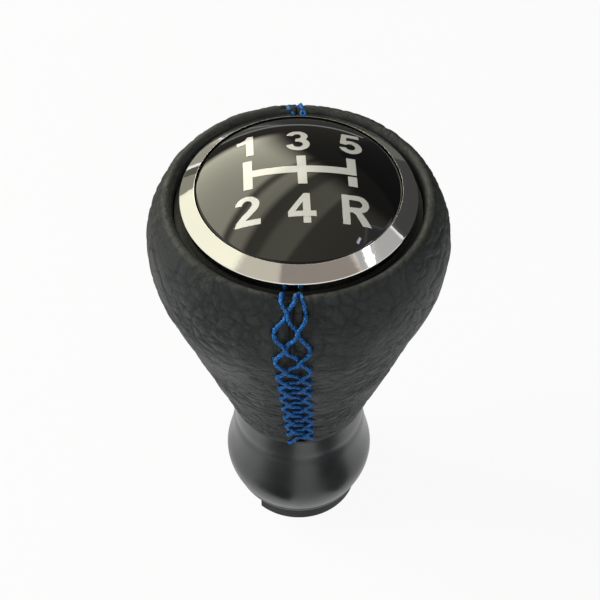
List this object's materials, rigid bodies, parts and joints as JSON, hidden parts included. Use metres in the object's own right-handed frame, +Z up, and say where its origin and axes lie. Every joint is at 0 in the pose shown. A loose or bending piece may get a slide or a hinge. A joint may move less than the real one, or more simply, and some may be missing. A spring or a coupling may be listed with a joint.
{
  "type": "gear shift knob",
  "caption": "Manual gear shift knob with a laced leather grip, chromed bezel, domed badge with a shift pattern and a satin collar over a gaiter ring.",
  "frame": {"origin": "centre of the foot: the bottom face of the gaiter ring on the lever's axis", "axes": "+Z up along the lever's axis; -Y is the front, where the driver reads the shift pattern upright; +X is to the right"},
  "size_m": [0.054, 0.0567, 0.0908],
  "materials": {
    "badge_gloss_black": "high gloss",
    "print_white": "gloss, printed",
    "pad_foam": "matte foam",
    "bezel_chrome": "mirror",
    "moulded_black": "matte moulded",
    "grip_leather": "pebbled, semi-matte",
    "lacing_thread": "waxed thread",
    "collar_satin": "satin",
    "sleeve_nylon": "natural moulded nylon",
    "clip_steel": "spring steel"
  },
  "bodies": {
    "root": {"badge_dome": "badge_gloss_black", "gate_print": "print_white", "adhesive_pad": "pad_foam", "bezel_ring": "bezel_chrome", "badge_seat": "moulded_black", "grip_core": "moulded_black", "left_leather": "grip_leather", "right_leather": "grip_leather", "front_lacing": "lacing_thread", "rear_lacing": "lacing_thread", "lower_collar": "collar_satin", "gaiter_ring": "moulded_black", "lever_sleeve": "sleeve_nylon", "sleeve_clip": "clip_steel"}
  },
  "joints": []
}
